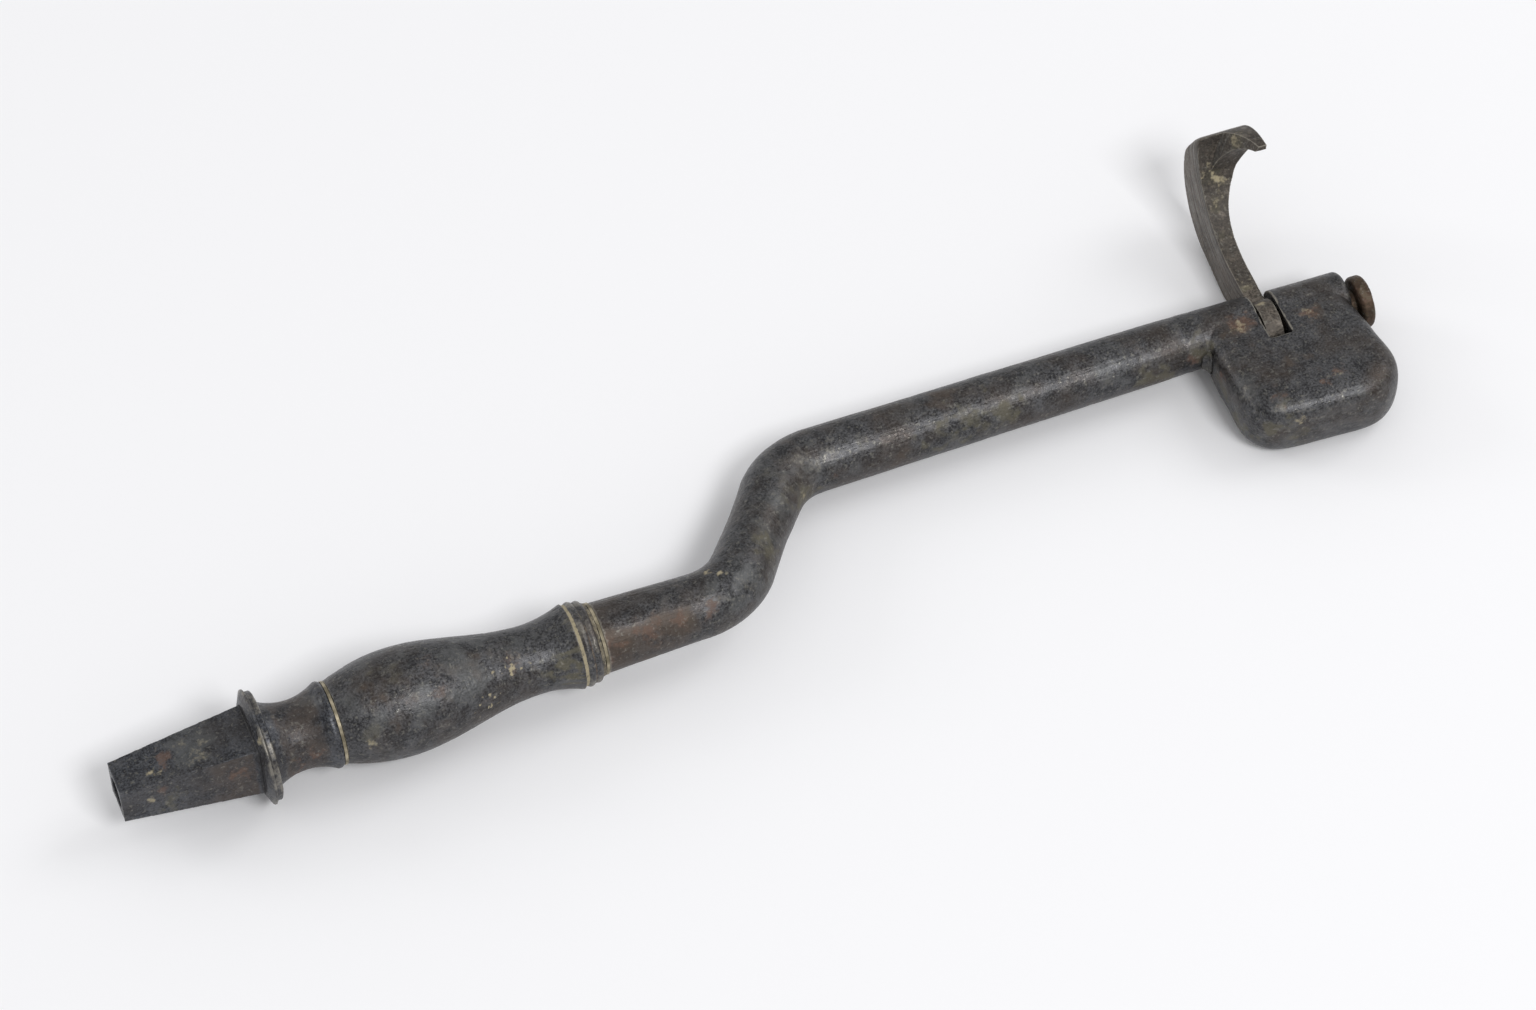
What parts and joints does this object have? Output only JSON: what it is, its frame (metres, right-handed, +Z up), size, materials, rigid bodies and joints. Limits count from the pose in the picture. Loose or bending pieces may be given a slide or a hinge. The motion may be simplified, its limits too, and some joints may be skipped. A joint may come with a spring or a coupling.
{
  "type": "dental key",
  "caption": "Dental key of forged iron: square tang for a cross handle, turned grip, cranked shank, and a slotted bolster with a swinging forked claw on a pivot screw.",
  "frame": {"origin": "middle of the tang's free end, at the mouth of the handle screw's hole", "axes": "+X along the axis of tang and grip towards the bolster, +Z up as the key lies, +Y towards the side that the shank is cranked to"},
  "size_m": [0.1634, 0.0455, 0.02],
  "materials": {
    "dark_iron": "forged and turned, aged dark with brown patches",
    "claw_steel": "filed flanks, pitted inner face",
    "screw_iron": "brown rusted",
    "braze": "dull brazing metal"
  },
  "bodies": {
    "stem": {"tang": "dark_iron", "collar_seam": "braze", "grip": "dark_iron", "bead_seam": "braze", "shank": "dark_iron", "bolster_seam": "braze", "bolster": "dark_iron"},
    "claw": {"claw": "claw_steel"},
    "pivot_screw": {"pivot_screw": "screw_iron"}
  },
  "joints": [
    {"name": "claw_swing", "type": "hinge", "parent": "stem", "child": "claw", "pos_m": [0.15023, 0.01445, -0.00197], "axis": [0.9997, -0.0262, 0], "range_deg": [-60, 110]},
    {"name": "screw_turn", "type": "hinge", "parent": "stem", "child": "pivot_screw", "pos_m": [0.16142, 0.01415, -0.00197], "axis": [0.9997, -0.0262, 0], "range_deg": [0, 450]}
  ]
}
